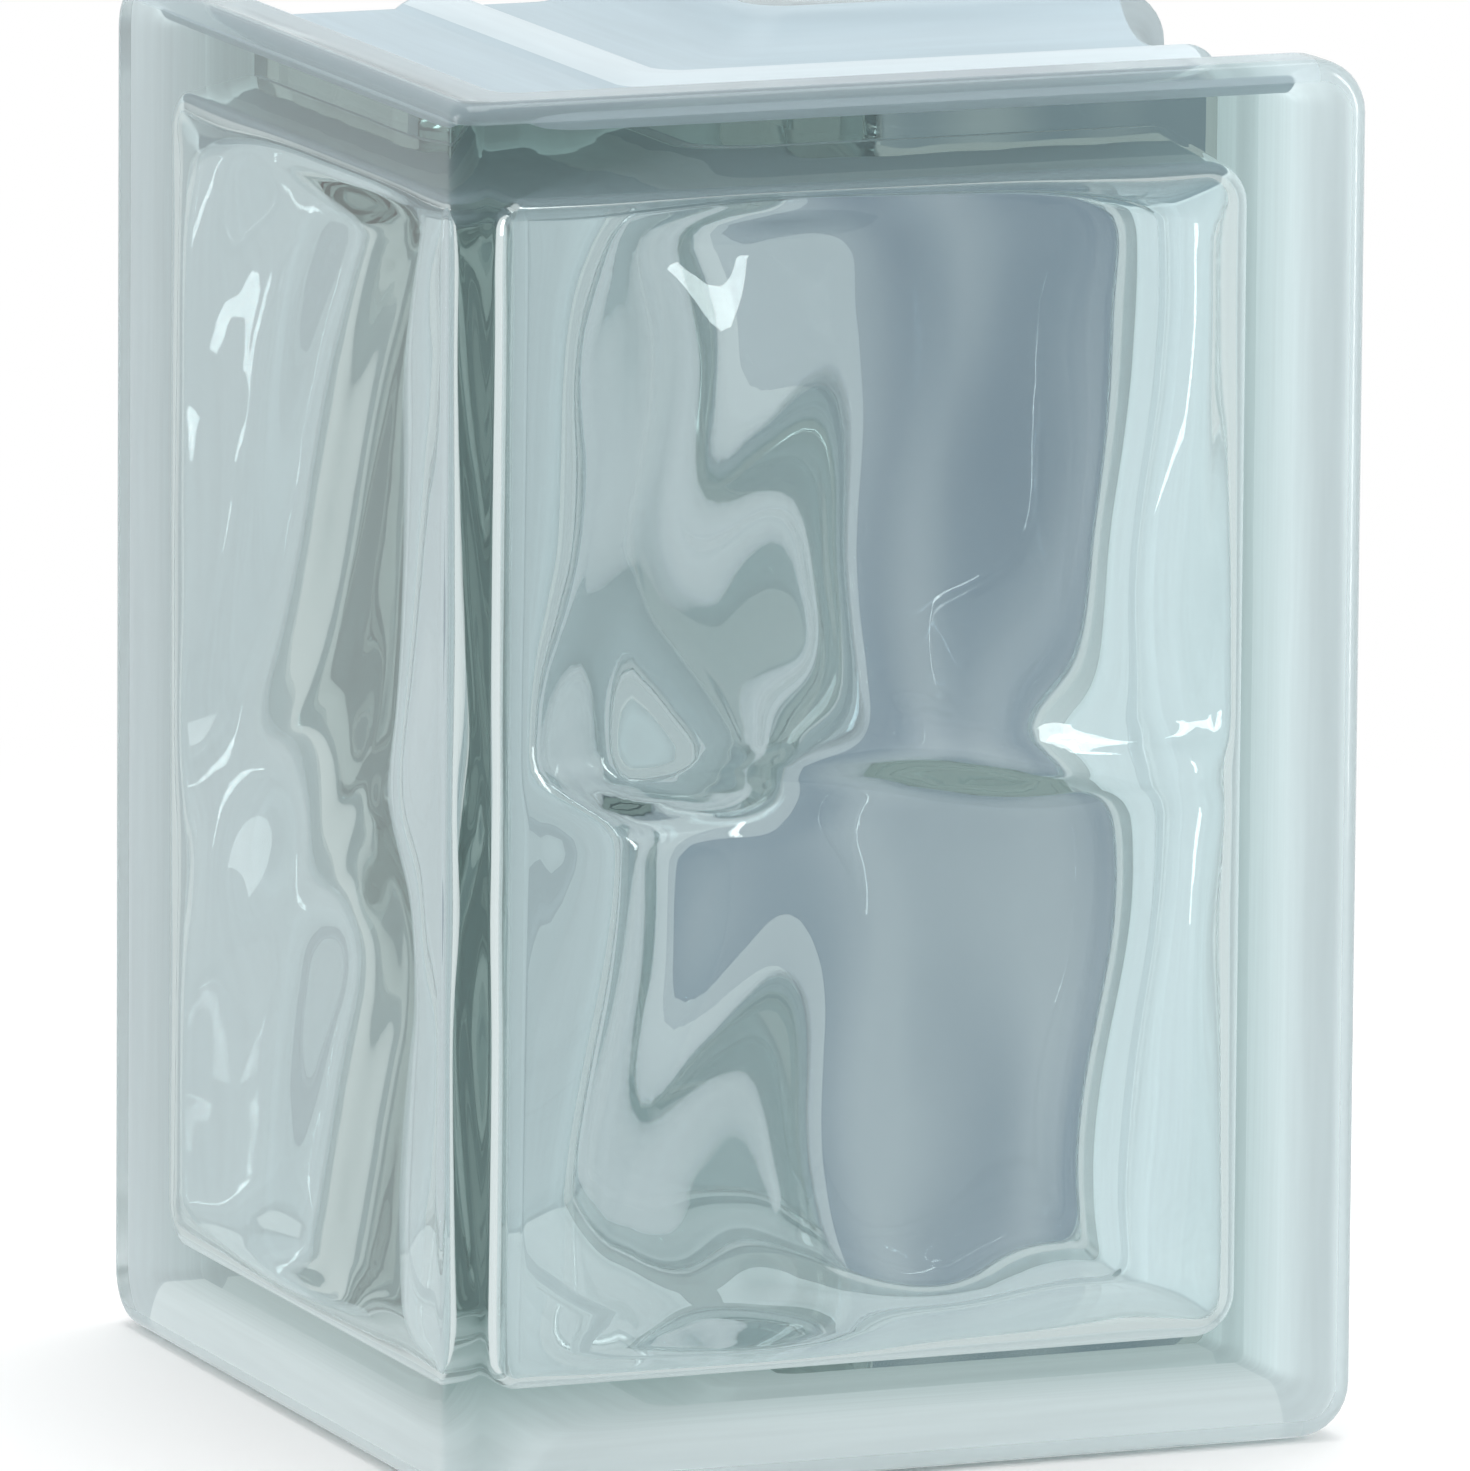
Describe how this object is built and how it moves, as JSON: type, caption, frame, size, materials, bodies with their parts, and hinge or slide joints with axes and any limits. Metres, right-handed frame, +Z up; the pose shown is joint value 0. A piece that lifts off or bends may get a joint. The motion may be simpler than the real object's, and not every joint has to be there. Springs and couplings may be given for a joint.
{
  "type": "corner glass block",
  "caption": "Hollow corner glass block, L-shaped in plan, with smooth outer faces, waves inside the faces and a mortar channel with a fused seam round its rim.",
  "frame": {"origin": "on the bed plane, under the middle of the block's box", "axes": "+Z up, the outer faces look to -X and -Y, the wings run along +X and +Y"},
  "size_m": [0.132, 0.132, 0.19],
  "materials": {
    "glass": "pressed, smooth outside and wavy inside"
  },
  "bodies": {
    "root": {"outer_half": "glass", "inner_half": "glass"}
  },
  "joints": []
}
